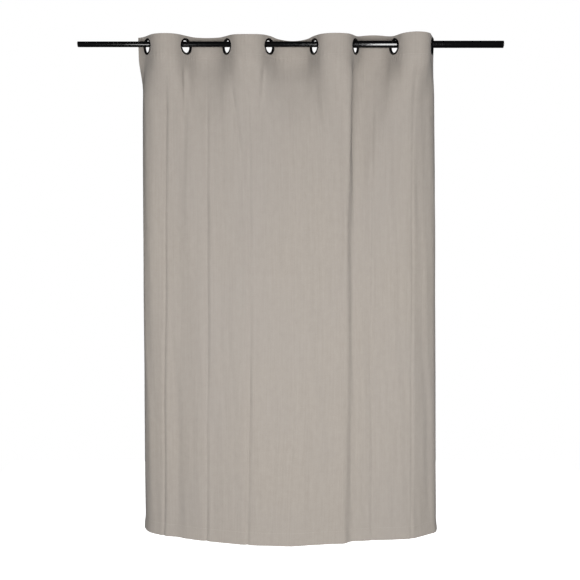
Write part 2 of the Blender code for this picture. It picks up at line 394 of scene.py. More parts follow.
def bell(value: Array, width: float) -> Array:
    """Return a bell curve of height 1: e to the power of minus (value / width) squared."""
    return np.exp(-(value / width) ** 2)


def make_mesh(name: str, points: Array, quads: Array, uv: Array | None = None,
              sharp_angle: float = 40.0) -> bpy.types.Object:
    """Make an object from points and quads, leaving out unused points.

    Args:
        name: The piece's name.
        points: Points as rows of three numbers.
        quads: Rows of four point numbers.
        uv: Two numbers for each point, or None.
        sharp_angle: Faces that meet at more than this many degrees keep an edge.

    Returns:
        The object, at the origin.
    """
    used, renumbered = np.unique(quads, return_inverse=True)
    quads = renumbered.reshape(quads.shape)
    points = points[used]
    mesh = bpy.data.meshes.new(name)
    mesh.vertices.add(len(points))
    mesh.vertices.foreach_set("co", points.astype(np.float32).ravel())
    mesh.loops.add(quads.size)
    mesh.loops.foreach_set("vertex_index", quads.astype(np.int32).ravel())
    mesh.polygons.add(len(quads))
    mesh.polygons.foreach_set("loop_start", np.arange(0, quads.size, 4, dtype=np.int32))
    mesh.update(calc_edges=True)
    if uv is not None:
        layer = mesh.uv_layers.new(name="cut")
        layer.data.foreach_set("uv", uv[used][quads.ravel()].astype(np.float32).ravel())
    mesh.validate()
    mesh.shade_smooth()
    mesh.set_sharp_from_angle(angle=math.radians(sharp_angle))
    obj = bpy.data.objects.new(name, mesh)
    bpy.context.scene.collection.objects.link(obj)
    return obj


def shell_quads(keep: Array) -> Array:
    """Return the quads of a closed shell between two grids of the same shape.

    The outer grid's points come first and the inner grid's after them. Every kept cell gives an
    outer and an inner quad, and every side between a kept cell and a missing one gives a wall.

    Args:
        keep: True for each kept cell, as rows by columns.

    Returns:
        Rows of four point numbers.
    """
    rows, columns = keep.shape
    number = np.arange((rows + 1) * (columns + 1)).reshape(rows + 1, columns + 1)
    inner = number.size

    def wall(kept: Array, missing: Array, start: Array, end: Array) -> Array:
        """Return the walls from outer to inner grid where a kept cell meets a missing one."""
        a, b = start[kept & ~missing], end[kept & ~missing]
        return np.column_stack((a, a + inner, b + inner, b))

    a, b = number[:-1, :-1][keep], number[:-1, 1:][keep]
    c, d = number[1:, 1:][keep], number[1:, :-1][keep]
    full = np.pad(keep, 1)
    left, right = full[1:-1, :-1], full[1:-1, 1:]
    above, below = full[:-1, 1:-1], full[1:, 1:-1]
    return np.vstack((
        np.column_stack((a, b, c, d)), np.column_stack((a, d, c, b)) + inner,
        wall(left, right, number[:-1], number[1:]), wall(above, below, number[:, 1:], number[:, :-1]),
        wall(right, left, number[1:], number[:-1]), wall(below, above, number[:, :-1], number[:, 1:]),
    ))


def revolve(name: str, profile: Array, centre: Array, axis: Array, steps: int) -> bpy.types.Object:
    """Turn a closed profile round an axis.

    A point at (along, radius) goes to the centre, plus along times the axis, plus radius times
    a unit vector that turns round the axis.

    Args:
        name: The piece's name.
        profile: Rows of (along the axis, radius), a closed loop that runs anticlockwise.
        centre: A point on the axis.
        axis: The axis' direction.
        steps: How many steps make a full turn.

    Returns:
        The piece.
    """
    axis = axis / np.linalg.norm(axis)
    side = np.cross(axis, (0.0, 0.0, 1.0))
    side /= np.linalg.norm(side)
    up = np.cross(side, axis)
    angle = np.linspace(0.0, 2.0 * math.pi, steps, endpoint=False)
    out = np.cos(angle)[:, None] * side + np.sin(angle)[:, None] * up
    points = centre + profile[None, :, :1] * axis + profile[None, :, 1:] * out[:, None, :]
    number = np.arange(points.shape[0] * points.shape[1]).reshape(points.shape[:2])
    ahead = np.roll(number, -1, axis=0)
    quads = np.stack((number, ahead, np.roll(ahead, -1, axis=1), np.roll(number, -1, axis=1)), axis=-1)
    return make_mesh(name, points.reshape(-1, 3), quads.reshape(-1, 4))


def rounded(corners: Sequence[Triple], steps: int = 5, most: float = 0.49) -> Array:
    """Return a closed outline with rounded corners.

    Each corner is (x, y, radius of rounding), and is replaced by a quadratic curve that leaves
    its sides at the radius' distance.

    Args:
        corners: The corners in order.
        steps: Points on each rounded corner.
        most: The most of a side that one corner may take.

    Returns:
        Rows of (x, y).
    """
    points = np.array([corner[:2] for corner in corners])
    radii = np.array([corner[2] for corner in corners])
    before = np.roll(points, 1, axis=0) - points
    after = np.roll(points, -1, axis=0) - points
    start = points + before * np.minimum(radii / np.linalg.norm(before, axis=1), most)[:, None]
    end = points + after * np.minimum(radii / np.linalg.norm(after, axis=1), most)[:, None]
    t = np.linspace(0.0, 1.0, steps)[None, :, None]
    curve = (1 - t) ** 2 * start[:, None] + 2 * (1 - t) * t * points[:, None] + t * t * end[:, None]
    return curve.reshape(-1, 2)


def arc(length: Array, first: Array | float, last: Array | float,
        start: Array | float, end: Array | float) -> tuple[Array, Array]:
    """Return the run and rise of a line that turns from one direction to another.

    The direction is the smoothstep of the length between START and END, and the run and rise
    are the integrals of its cosine and sine, summed at twelve Gauss points.

    Args:
        length: Lengths along the line.
        first: The direction at the start, in radians.
        last: The direction at the end, in radians.
        start: The length at which the line starts to turn.
        end: The length at which it has turned.

    Returns:
        The run and the rise at each length.
    """
    run, rise = np.zeros(np.shape(length)), np.zeros(np.shape(length))
    for point, weight in zip(*np.polynomial.legendre.leggauss(12)):
        reached = length * (point + 1.0) / 2.0
        angle = first + (last - first) * smooth((reached - start) / (end - start))
        run = run + length * weight / 2.0 * np.cos(angle)
        rise = rise + length * weight / 2.0 * np.sin(angle)
    return run, rise


def stitches(name: str, first: Array, second: Array, radius: float) -> bpy.types.Object:
    """Build short thread capsules between pairs of points.

    Each is four rings of five points along its line, with radii that follow half a circle, and
    a quad across most of each end ring.

    Args:
        name: The piece's name.
        first: Start points.
        second: End points.
        radius: Radius of the thread.

    Returns:
        The piece.
    """
    places, sizes, sides = (0.0, 0.22, 0.78, 1.0), (0.25, 1.0, 1.0, 0.25), 5
    line = second - first
    length = np.linalg.norm(line, axis=1, keepdims=True)
    line = line / length
    side = np.cross(line, np.array((0.13, 1.0, 0.21)))
    side /= np.linalg.norm(side, axis=1, keepdims=True)
    up = np.cross(line, side)
    angle = (np.arange(sides) * 2 * math.pi / sides)[None, :, None]
    around = np.cos(angle) * side[:, None, :] + np.sin(angle) * up[:, None, :]
    rings = [first[:, None, :] + line[:, None, :] * length[:, None, :] * place + around * radius * size
             for place, size in zip(places, sizes)]
    points = np.stack(rings, axis=1)
    number = np.arange(len(places) * sides).reshape(len(places), sides)
    ahead = np.roll(number, -1, axis=1)
    walls = np.stack((number[:-1], ahead[:-1], ahead[1:], number[1:]), axis=-1).reshape(-1, 4)
    caps = np.array((number[0, [0, 4, 3, 2]], number[-1, :4]))
    starts = (np.arange(len(first)) * number.size)[:, None, None]
    quads = [(part[None] + starts).reshape(-1, 4) for part in (walls, caps)]
    return make_mesh(name, points.reshape(-1, 3), np.vstack(quads), sharp_angle=80.0)


# ------------------------------------------------------------------------------------------------
# The drape
# ------------------------------------------------------------------------------------------------
@dataclass(frozen=True)
class Crease:
    """A fold line of the settled cloth, by its places in plan half way down and at the hem."""

    middle: tuple[float, float]
    hem: tuple[float, float]


@dataclass(frozen=True)
class Roll:
    """The way from an outer fold line to the side edge, where the cloth rolls back.

    Its direction turns from FIRST to LAST between the lengths START and END from the fold line.
    """

    first: float
    last: float
    start: float
    end: float


@dataclass(frozen=True)
class Pleat:
    """A soft ridge to the back: where it starts and ends along the cloth, in pitches.

    Height and width are its bell's. It comes in at START below the rod and is gone at END.
    """

    top: float
    hem: float
    height: float
    width: float
    start: float
    end: float


@dataclass(frozen=True)
class Wave:
    """A long soft wave: its height, its turn in radians for a metre each way, and its phase."""

    height: float
    across: float
    down: float
    phase: float


def joint_place(name: str) -> float:
    """Return where a hinge stands along the rod."""
    found = next(joint for joint in frame["joints"] if joint["name"] == name)
    return float(found["pos_m"][0])


def eyelet_places(count: int) -> Array:
    """Return the eyelets' places along the rod.

    The last eyelet is on the drawing hinge, and each fold hinge stands half way between two.

    Args:
        count: How many eyelets there are.

    Returns:
        The places from left to right.
    """
    places = [joint_place("curtain_draw")]
    for number in range(count - 1, 0, -1):
        places.append(2.0 * joint_place(f"fold_{number}") - places[-1])
    return np.array(places[::-1])


@dataclass
class Drape:
    """The cloth's middle surface as a function of the place along the cloth and the height.

    Tuples run from left to right, with one value for each eyelet or for each fold line. Plan
    places are (along the rod, behind the rod).
    """

    pitch: float = 0.1735
    margin: float = 0.0535
    top: float = 0.0286
    drop: float = 1.83
    seam_z: float = -0.0402
    tilts: tuple[float, ...] = (55, 55, 53, 54, 60, 61, 62, 72)
    facet_half: float = 0.0290125
    reach: float = 0.043
    header_curls: tuple[float, float] = (-0.42, 0.02)
    curl_from: float = 0.005
    lifts: tuple[float, ...] = (-0.001, 0.002, -0.004, -0.008, -0.001, 0.012, 0.003)

    settle_from: float = 0.038
    settle_fast: float = 0.100
    settle_shares: tuple[float, ...] = (0.30, 0.24, 0.30, 0.26, 0.28, 0.05, 0.34, 0.30)
    settle_spans: tuple[float, ...] = (0.13, 0.28, 0.23, 0.25, 0.26, 0.55, 0.24, 0.13)

    crease_softness: float = 0.16
    creases: tuple[Crease, ...] = (
        Crease((-0.453, 0.018), (-0.481, 0.036)),
        Crease((-0.297, -0.004), (-0.314, -0.009)),
        Crease((-0.143, -0.020), (-0.159, -0.039)),
        Crease((0.018, -0.026), (-0.007, -0.050)),
        Crease((0.186, -0.014), (0.183, -0.027)),
        Crease((0.292, 0.000), (0.308, -0.001)),
        Crease((0.441, 0.006), (0.459, 0.009)),
    )
    left_rolls: tuple[Roll, Roll] = (Roll(0.0, 80.0, 0.030, 0.118), Roll(24.0, 80.0, 0.030, 0.130))
    right_rolls: tuple[Roll, Roll] = (Roll(26.0, 80.0, 0.060, 0.112), Roll(28.0, 76.0, 0.092, 0.135))

    grooves: tuple[float, ...] = (0.0030, 0.0020, 0.0018, 0.0009, 0.0, 0.0012, 0.0014)
    groove_width: float = 0.0062
    groove_wander: float = 0.0015
    groove_turn: float = 9.0
    shoulder_share: float = 0.35
    shoulder_away: float = 0.012
    shoulder_width: float = 0.008
    pleats: tuple[Pleat, ...] = (
        Pleat(0.96, 0.94, 0.0052, 0.0100, 0.060, 0.60),
        Pleat(2.06, 2.42, 0.0030, 0.0085, 0.130, 0.80),
        Pleat(2.84, 2.60, 0.0036, 0.0095, 0.060, 0.50),
        Pleat(5.33, 5.40, 0.0018, 0.0045, 0.045, 0.26),
        Pleat(6.52, 6.60, 0.0022, 0.0090, 0.038, 0.28),
        Pleat(0.80, 0.80, 0.0035, 0.0240, 0.300, 9.00),
        Pleat(1.48, 1.50, 0.0030, 0.0150, 0.500, 9.00),
        Pleat(2.50, 2.50, 0.0022, 0.0130, 0.500, 9.00),
    )
    pleat_settle: float = 0.6
    pleat_come: float = 0.05
    pleat_stay: float = 0.03
    step_at: float = 5.0
    step_drift: float = 0.13
    step_depth: float = 0.0230
    step_left: float = 0.022
    step_width: float = 0.019
    step_reach: float = 0.055
    step_from: float = 0.03
    step_come: float = 0.10
    step_calm_from: float = 0.25
    step_drift_span: float = 0.5
    step_loss: float = 0.62
    step_loss_span: float = 0.6
    seam_pinch: float = 0.0004
    seam_width: float = 0.0016
    pucker: float = 0.00040
    pucker_below: float = 0.004
    pucker_width: float = 0.012
    pucker_turns: Triple = (520.0, 61.0, 37.0)
    hem_kick: float = 0.004
    hem_kick_height: float = 0.07
    relief_from: float = 0.06
    relief_span: float = 0.20
    hem_calm: float = 0.35
    hem_calm_height: float = 0.12
    waves: tuple[Wave, ...] = (
        Wave(0.0011, 31.0, 2.1, 0.4),
        Wave(0.0008, 47.0, -3.3, 1.7),
        Wave(0.0006, 83.0, 4.1, 3.0),
        Wave(0.00035, 131.0, 6.7, 5.2),
        Wave(0.00025, 190.0, 9.5, 0.9),
    )
    eyelet_x: Array = field(init=False)
    fold_x: Array = field(init=False)

    def __post_init__(self) -> None:
        """Read the eyelets' places from the frame."""
        self.eyelet_x = eyelet_places(len(self.tilts))
        self.fold_x = (self.eyelet_x[1:] + self.eyelet_x[:-1]) / 2.0

    @property
    def count(self) -> int:
        """The number of eyelets."""
        return len(self.tilts)

    @property
    def hem(self) -> float:
        """The height of the hem."""
        return self.top - self.drop

    @property
    def side(self) -> float:
        """The side margin in pitches."""
        return self.margin / self.pitch

    def directions(self) -> Array:
        """Return the cloth's plan direction at each eyelet; even ones lead towards the room."""
        tilt = np.radians(self.tilts)
        sign = np.where(np.arange(self.count) % 2 == 0, -1.0, 1.0)
        return np.column_stack((np.cos(tilt), sign * np.sin(tilt)))

    def header(self, along: Array) -> tuple[Array, Array]:
        """Return the header's plan: flat facets joined by cubic curves in their own directions.

        Past the outer eyelets it goes on as an arc from the facet's direction.

        Args:
            along: Places along the cloth, in pitches.

        Returns:
            The plan places.
        """
        index = np.clip(np.floor(along).astype(int), 0, self.count - 2)
        share = np.clip(along - index, 0.0, 1.0)[..., None]
        direction = self.directions()
        places = np.column_stack((self.eyelet_x, np.zeros(self.count)))
        start, end = places[index], places[index + 1]
        leave, meet = direction[index], direction[index + 1]
        flat = self.facet_half / self.pitch
        t = np.clip((share - flat) / (1.0 - 2.0 * flat), 0.0, 1.0)
        a = start + leave * flat * self.pitch
        d = end - meet * flat * self.pitch
        b, c = a + leave * self.reach, d - meet * self.reach
        curve = (1 - t) ** 3 * a + 3 * (1 - t) ** 2 * t * b + 3 * (1 - t) * t * t * c + t ** 3 * d
        before = start + leave * share * self.pitch
        after = end - meet * (1.0 - share) * self.pitch
        plan = np.where(share <= flat, before, np.where(share >= 1.0 - flat, after, curve))
        x, y = plan[..., 0], plan[..., 1]
        for out, tilt, sign, curl in ((-along, self.tilts[0], -1.0, self.header_curls[0]),
                                      (along - self.count + 1, self.tilts[-1], 1.0, self.header_curls[1])):
            angle = math.radians(tilt)
            run, rise = arc(np.maximum(out, 0.0) * self.pitch, angle, angle + curl,
                            self.curl_from, self.margin)
            x, y = x + sign * run, y + rise
        return x, y

    def corner(self, index: Array, depth: Array) -> tuple[Array, Array]:
        """Return fold lines' plan places: each is a parabola through its three places.

        Args:
            index: Which fold line, for each point.
            depth: How far down it is: 0 at the rod's axis, 1 at the hem.

        Returns:
            The plan places.
        """
        first = 2.0 * (depth - 0.5) * (depth - 1.0)
        second = -4.0 * depth * (depth - 1.0)
        third = 2.0 * depth * (depth - 0.5)
        x, y = np.zeros(depth.shape), np.zeros(depth.shape)
        for number, crease in enumerate(self.creases):
            top = (self.fold_x[number], 0.0)
            cx, cy = (top[i] * first + crease.middle[i] * second + crease.hem[i] * third for i in (0, 1))
            x, y = np.where(index == number, cx, x), np.where(index == number, cy, y)
        return x, y

    def roll(self, rolls: tuple[Roll, Roll], length: Array, depth: Array) -> tuple[Array, Array]:
        """Return the way from an outer fold line towards the side edge, which rolls back.

        Args:
            rolls: The roll at the rod's axis and at the hem; between them its values go evenly.
            length: How far along the cloth from the fold line.
            depth: How far down: 0 at the rod's axis, 1 at the hem.

        Returns:
            The way outwards and the way back.
        """
        top, hem = rolls
        first = np.radians(top.first + (hem.first - top.first) * depth)
        last = np.radians(top.last + (hem.last - top.last) * depth)
        start = top.start + (hem.start - top.start) * depth
        end = top.end + (hem.end - top.end) * depth
        return arc(length, first, last, start, end)

    def settled(self, along: Array, depth: Array) -> tuple[Array, Array]:
        """Return the settled cloth's plan: straight sides that turn softly at the fold lines.

        With s running from -1 to 1 across a section, the place is the corner, plus the way to
        the next middle times h(s), plus the way to the last middle times h(-s), where h is a
        hyperbola from 0 at -1 to 1 at 1. The outer ways are rolls in place of straight lines.

        Args:
            along: Places along the cloth, in pitches.
            depth: How far down: 0 at the rod's axis, 1 at the hem.

        Returns:
            The plan places.
        """
        last = self.count - 2
        index = np.clip(np.floor(along).astype(int), 0, last)
        s = 2.0 * (along - index) - 1.0
        soft = self.crease_softness
        ahead = (s + np.sqrt(s * s + soft * soft) - math.sqrt(1 + soft * soft) + 1) / 2.0
        back = ahead - s
        corner = self.corner(index, depth)
        before = self.corner(np.maximum(index - 1, 0), depth)
        after = self.corner(np.minimum(index + 1, last), depth)
        run, rise = self.roll(self.left_rolls, np.maximum(back, 0.0) * self.pitch / 2, depth)
        left = (-run, rise)
        right = self.roll(self.right_rolls, np.maximum(ahead, 0.0) * self.pitch / 2, depth)
        out = []
        for i in (0, 1):
            back_way = np.where(index == 0, left[i], (before[i] - corner[i]) / 2.0 * back)
            ahead_way = np.where(index == last, right[i], (after[i] - corner[i]) / 2.0 * ahead)
            out.append(corner[i] + back_way + ahead_way)
        return out[0], out[1]

    def opening(self, along: Array, z: Array) -> Array:
        """Return how far the header's folds have opened: 0 at the header, 1 where settled.

        It is the sum of a fast and a slow smoothstep of the height, whose shares and whose slow
        length run evenly from eyelet to eyelet.

        Args:
            along: Places along the cloth, in pitches.
            z: Heights.

        Returns:
            The opening at each point.
        """
        places = np.arange(self.count)
        span = np.interp(along, places, self.settle_spans)
        share = np.interp(along, places, self.settle_shares)
        below = -z - self.settle_from
        return share * smooth(below / self.settle_fast) + (1 - share) * smooth(below / span)

    def plan(self, along: Array, z: Array) -> tuple[Array, Array]:
        """Return the plan place of the cloth's middle surface: header and settled plan, mixed.

        Args:
            along: Places along the cloth, in pitches.
            z: Heights.

        Returns:
            The plan places.
        """
        opened = self.opening(along, z)
        depth = np.clip(z / self.hem, 0.0, 1.0)
        hx, hy = self.header(along)
        sx, sy = self.settled(along, depth)
        return (1 - opened) * hx + opened * sx, (1 - opened) * hy + opened * sy

    def pressed(self, u: Array, z: Array) -> Array:
        """Return the grooves along the pressed fold lines.

        Each is a bell with a smaller bell the other way beside it, and wanders a little.

        Args:
            u: Places along the cloth, in metres.
            z: Heights.

        Returns:
            How far the surface stands back.
        """
        total = 0.0
        for number, groove in enumerate(self.grooves):
            wander = self.groove_wander * np.sin(self.groove_turn * z + number)
            offset = u - (number + 0.5) * self.pitch + wander
            shoulder = bell(offset - self.shoulder_away, self.shoulder_width)
            total = total + groove * (bell(offset, self.groove_width) - self.shoulder_share * shoulder)
        return total

    def pleated(self, u: Array, z: Array) -> Array:
        """Return the pleats: bells across, which come in and go out down the cloth.

        Args:
            u: Places along the cloth, in metres.
            z: Heights.

        Returns:
            How far the surface stands back.
        """
        total = 0.0
        way = smooth(-z / self.pleat_settle)
        for pleat in self.pleats:
            offset = u - (pleat.top * (1 - way) + pleat.hem * way) * self.pitch
            come = smooth((-z - pleat.start) / self.pleat_come)
            gone = smooth((-z - pleat.start - self.pleat_stay) / (pleat.end - pleat.start))
            total = total + pleat.height * bell(offset, pleat.width) * come * (1.0 - gone)
        return total

    def stepped(self, along: Array, z: Array) -> Array:
        """Return the step that the deep fold under the sixth eyelet leaves all the way down.

        Across, it is a hyperbolic tangent times a bell. It fades and drifts left going down.

        Args:
            along: Places along the cloth, in pitches.
            z: Heights.

        Returns:
            How far the surface stands back.
        """
        low = -z - self.step_calm_from
        drift = self.step_drift * smooth(low / self.step_drift_span)
        across = (along - self.step_at + drift) * self.pitch
        come = smooth((-z - self.step_from) / self.step_come)
        fade = come * (1.0 - self.step_loss * smooth(low / self.step_loss_span))
        turn = np.tanh((across + self.step_left) / self.step_width)
        return self.step_depth * turn * bell(across, self.step_reach) * fade

    def sewn(self, u: Array, z: Array) -> Array:
        """Return the pinch and the fine puckers along the header's seam.

        The puckers are a sine whose phase and height wander along the seam.

        Args:
            u: Places along the cloth, in metres.
            z: Heights.

        Returns:
            How far the surface stands back.
        """
        fine, phase, swell = self.pucker_turns
        ripple = np.sin(fine * u + 1.3 * np.sin(phase * u)) * (1.0 + np.sin(swell * u))
        above = z - self.seam_z
        return (self.seam_pinch * bell(above, self.seam_width)
                + self.pucker * ripple * bell(above + self.pucker_below, self.pucker_width))

    def relief(self, along: Array, z: Array) -> Array:
        """Return how far the surface stands behind the plain drape.

        It is the sum of the pressed fold lines, the pleats, the step, the seam, long soft waves
        that die down towards the hem, and a small kick of the hem towards the room.

        Args:
            along: Places along the cloth, in pitches.
            z: Heights.

        Returns:
            The distance at each point.
        """
        u = along * self.pitch
        below = smooth((-z - self.relief_from) / self.relief_span)
        above_hem = smooth((z - self.hem) / self.hem_calm_height)
        calm = self.hem_calm + (1.0 - self.hem_calm) * above_hem
        kick = smooth((self.hem + self.hem_kick_height - z) / self.hem_kick_height) ** 2
        total = self.pressed(u, z) * below - self.hem_kick * kick
        total = total + self.pleated(u, z) + self.stepped(along, z) + self.sewn(u, z)
        for wave in self.waves:
            wander = 0.9 * np.sin(wave.down * 1.3 * z + wave.phase * 2.0)
            turn = wave.across * u + wave.down * z + wave.phase + wander
            total = total + wave.height * np.sin(turn) * below * calm
        return total

    def lift(self, along: Array, z: Array) -> Array:
        """Return how far the header's top edge rises or drops between the eyelets.

        Args:
            along: Places along the cloth, in pitches.
            z: Heights.

        Returns:
            A sine squared between each two eyelets, which fades to 0 below the header.
        """
        total = np.zeros(along.shape)
        for number, lift in enumerate(self.lifts):
            share = np.clip(along - number, 0.0, 1.0)
            total = total + lift * np.sin(math.pi * share) ** 2
        return total * smooth((z + self.settle_from) / (self.top + self.settle_from))

    def surface(self, along: Array, z: Array, behind: Array, probe: float = 0.004) -> Array:
        """Return points of the cloth: the plan place, moved along the plan's own normal.

        Args:
            along: Places along the cut cloth, in pitches from the first eyelet.
            z: Heights.
            behind: Distances behind the front layer's middle.
            probe: How far to either side the plan's direction is measured, in pitches.

        Returns:
            Points as an array whose last axis is three long.
        """
        along, z, behind = np.broadcast_arrays(along, z, behind)
        along, z = along.astype(float), z.astype(float)
        x, y = self.plan(along, z)
        ahead_x, ahead_y = self.plan(along + probe, z)
        last_x, last_y = self.plan(along - probe, z)
        tx, ty = ahead_x - last_x, ahead_y - last_y
        away = (behind + self.relief(along, z)) / np.hypot(tx, ty)
        return np.stack((x - ty * away, y + tx * away, z + self.lift(along, z)), axis=-1)


# ------------------------------------------------------------------------------------------------
# The curtain
# ------------------------------------------------------------------------------------------------
class Side(Enum):
    """Which face of the cloth something is on; the value points away from the cloth."""

    ROOM = -1.0
    WINDOW = 1.0


@dataclass(frozen=True)
class StitchRow:
    """A row of stitches: their middles, half their length each way, and the last layer's depth."""

    along: Array
    z: Array
    across: float
    up: float
    layers: float


@dataclass
class Panel:
    """The cloth with its header, hems, stiffening tape and stitching."""

    drape: Drape
    cloth: float = 0.0008
    gap: float = 0.0003
    tape: float = 0.0005
    tape_inset: float = 0.002
    header_depth: float = 0.071
    hem_depth: float = 0.050
    side_hem: float = 0.022
    hole_radius: float = 0.0232
    hole_z: float = -0.0075
    stitch_pitch: float = 0.0046
    stitch_inset: float = 0.0022
    stitch_half_share: float = 0.36
    thread_radius: float = 0.00028
    thread_proud: float = 0.00008

    column_step: float = 0.0040
    fold_density: float = 2.4
    fold_reach: float = 0.011
    eyelet_density: float = 1.2
    eyelet_reach: float = 0.030
    low_step: float = 0.0075
    low_until: float = -0.30
    close_step: float = 0.006
    close_until: float = -0.075
    header_step: float = 0.0018
    header_rows: int = 60
    facing_rows: int = 26
    tape_rows: int = 24
    hem_rows: int = 8
    turn_points: int = 9
    bend_inset: float = 0.012

    linen: bpy.types.Material = field(init=False)
    thread: bpy.types.Material = field(init=False)
    ribbon: bpy.types.Material = field(init=False)

    def __post_init__(self) -> None:
        """Mix the materials."""
        self.linen = LinenFinish().material()
        self.thread = ThreadFinish().material()
        self.ribbon = RibbonFinish().material()

    @property
    def facing(self) -> float:
        """How far the turned-over header layer lies behind the front layer."""
        return self.cloth + 2 * self.gap + self.tape

    @property
    def turn_up(self) -> float:
        """How far the turned-up hem layer lies behind the front layer."""
        return self.cloth + 2 * self.gap

    @property
    def facing_low(self) -> float:
        """The height of the turned-over header layer's lower edge."""
        return self.drape.top - self.header_depth

    def section_path(self) -> Array:
        """Return the cloth's line in section.

        It runs from inside the hem, round the bottom, up the front layer, over the top and down
        the facing. Turns are half circles. Rows are closer together near the header.

        Returns:
            Rows of (behind, z).
        """
        top, hem = self.drape.top - self.cloth / 2, self.drape.hem + self.cloth / 2
        half_turn = np.linspace(0.0, math.pi, self.turn_points)[1:-1]
        low, high = self.turn_up / 2, self.facing / 2
        inside = np.linspace(hem + self.hem_depth, hem + low, self.hem_rows)
        bottom = np.column_stack((low + low * np.cos(half_turn), hem + low - low * np.sin(half_turn)))
        front_low = np.arange(hem + low, self.low_until, self.low_step)
        front_close = np.arange(front_low[-1] + self.close_step, self.close_until, self.close_step)
        front_top = np.linspace(front_close[-1] + self.header_step, top - high, self.header_rows)
        front = np.concatenate((front_low, front_close, front_top))
        over = np.column_stack((high - high * np.cos(half_turn), top - high + high * np.sin(half_turn)))
        facing = np.linspace(top - high, self.facing_low, self.facing_rows)
        return np.vstack((
            np.column_stack((np.full(self.hem_rows, self.turn_up), inside)), bottom,
            np.column_stack((np.zeros(len(front)), front)), over,
            np.column_stack((np.full(self.facing_rows, self.facing), facing))))

    def tape_path(self) -> Array:
        """Return the stiffening tape's line in section, as rows of (behind, z)."""
        top = self.drape.top - self.cloth - self.gap - self.tape
        z = np.linspace(self.facing_low + self.tape_inset, top, self.tape_rows)
        return np.column_stack((np.full(self.tape_rows, self.facing / 2), z))

    @staticmethod
    def offset_paths(path: Array, thickness: float) -> tuple[Array, Array]:
        """Return a path moved to either side by half a thickness, along its own normals.

        Args:
            path: Rows of (behind, z).
            thickness: The distance between the two paths.

        Returns:
            The outer and the inner path.
        """
        ahead = np.gradient(path, axis=0)
        ahead /= np.linalg.norm(ahead, axis=1)[:, None]
        normal = np.column_stack((-ahead[:, 1], ahead[:, 0])) * thickness / 2
        return path + normal, path - normal

    def build_layer(self, name: str, columns: Array, path: Array, thickness: float,
                    material: bpy.types.Material, holes: Iterable[int] = ()) -> bpy.types.Object:
        """Carry a section path along the cloth as a closed shell.

        Points inside a hole go straight out to its edge, and cells that lie all inside it are
        left out.

        Args:
            name: The piece's name.
            columns: Places along the cloth.
            path: Rows of (behind, z).
            thickness: The layer's thickness.
            material: Its finish.
            holes: Eyelets whose holes are cut.

        Returns:
            The piece.
        """
        outer, inner = self.offset_paths(path, thickness)
        rows = len(path)
        along = np.broadcast_to(columns[None, :], (rows, len(columns))).copy()
        height = np.broadcast_to(path[:, 1:], along.shape).copy()
        keep = np.ones((rows - 1, len(columns) - 1), bool)
        for number in holes:
            across = (along - number) * self.drape.pitch
            down = height - self.hole_z
            distance = np.maximum(np.hypot(across, down), 1e-9)
            inside = distance < self.hole_radius
            grow = np.where(inside, self.hole_radius / distance, 1.0)
            along = number + across * grow / self.drape.pitch
            height = self.hole_z + down * grow
            keep &= ~(inside[:-1, :-1] & inside[1:, :-1] & inside[:-1, 1:] & inside[1:, 1:])
        shift = height - path[:, 1:]
        first = self.drape.surface(along, outer[:, 1:] + shift, outer[:, :1])
        second = self.drape.surface(along, inner[:, 1:] + shift, inner[:, :1])
        length = np.concatenate(([0.0], np.cumsum(np.linalg.norm(np.diff(path, axis=0), axis=1))))
        front = np.argmin(np.abs(path[:, 1]))
        uv = np.stack((along * self.drape.pitch, length[:, None] - length[front] + shift), axis=-1)
        points = np.concatenate((first.reshape(-1, 3), second.reshape(-1, 3)))
        both = np.concatenate((uv.reshape(-1, 2), uv.reshape(-1, 2)))
        obj = make_mesh(name, points, shell_quads(keep), both)
        obj.data.materials.append(material)
        return obj

    def columns(self, start: float, end: float) -> Array:
        """Return places along the cloth, closer together at the fold lines and the eyelet lines.

        They are evenly spaced in the integral of a density that has a bell at each such line.

        Args:
            start: The first place, in pitches.
            end: The last place.

        Returns:
            The places.
        """
        fine = np.linspace(start, end, 2001)
        from_fold = (fine - np.floor(fine) - 0.5) * self.drape.pitch
        from_eyelet = (fine - np.round(fine)) * self.drape.pitch
        density = (1.0 + self.fold_density * bell(from_fold, self.fold_reach)
                   + self.eyelet_density * bell(from_eyelet, self.eyelet_reach))
        total = np.concatenate(([0.0], np.cumsum((density[1:] + density[:-1]) / 2)))
        length = total[-1] * (fine[1] - fine[0]) * self.drape.pitch
        steps = max(6, int(round(length / self.column_step)))
        return np.interp(np.linspace(0.0, total[-1], steps + 1), total, fine)

    def span(self, number: int) -> tuple[Array, Array]:
        """Return two points across a section, one just inside each of its eyelet lines.

        Both points lie on one line square to the section's two eyelet lines, and they stand
        inside the eyelets' flat facets and inside the section at every height.

        Args:
            number: The section, as the number of the eyelet line on its left, from 0.

        Returns:
            The two points.
        """
        depth = np.array([0.0, 0.5, 1.0])
        height = depth * self.drape.hem
        lines = []
        for index, sign in ((number, 1.0), (number + 1, -1.0)):
            x, _ = self.drape.settled(np.full(3, float(index)), depth)
            x[0] = self.drape.eyelet_x[index]
            lines.append(np.column_stack((x + sign * self.bend_inset, height)))
        slope = (lines[0][-1] - lines[0][0]) + (lines[1][-1] - lines[1][0])
        slope /= np.linalg.norm(slope)
        square = np.array((-slope[1], slope[0]))
        start, end = (lines[0] @ square).max(), (lines[1] @ square).min()
        wide = np.array((square[0], 0.0, square[1]))
        return wide * start, wide * end

    def settle(self, piece: bpy.types.Object, number: int) -> None:
        """Attach a margin section's piece to its outer strip; a middle section's piece only has its
        transform baked into its mesh.

        Args:
            piece: The piece.
            number: The section: 0 is the left margin, and COUNT the right one.
        """
        if number == 0:
            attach(piece, "strip_1")
        elif number == self.drape.count:
            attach(piece, f"strip_{self.drape.count}")
        else:
            start, end = self.span(number - 1)
            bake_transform(piece)

    def limits(self, number: int) -> tuple[float, float]:
        """Return where section NUMBER starts and ends along the cloth."""
        last = self.drape.count - 1
        return (max(number - 1.0, -self.drape.side), min(float(number), last + self.drape.side))

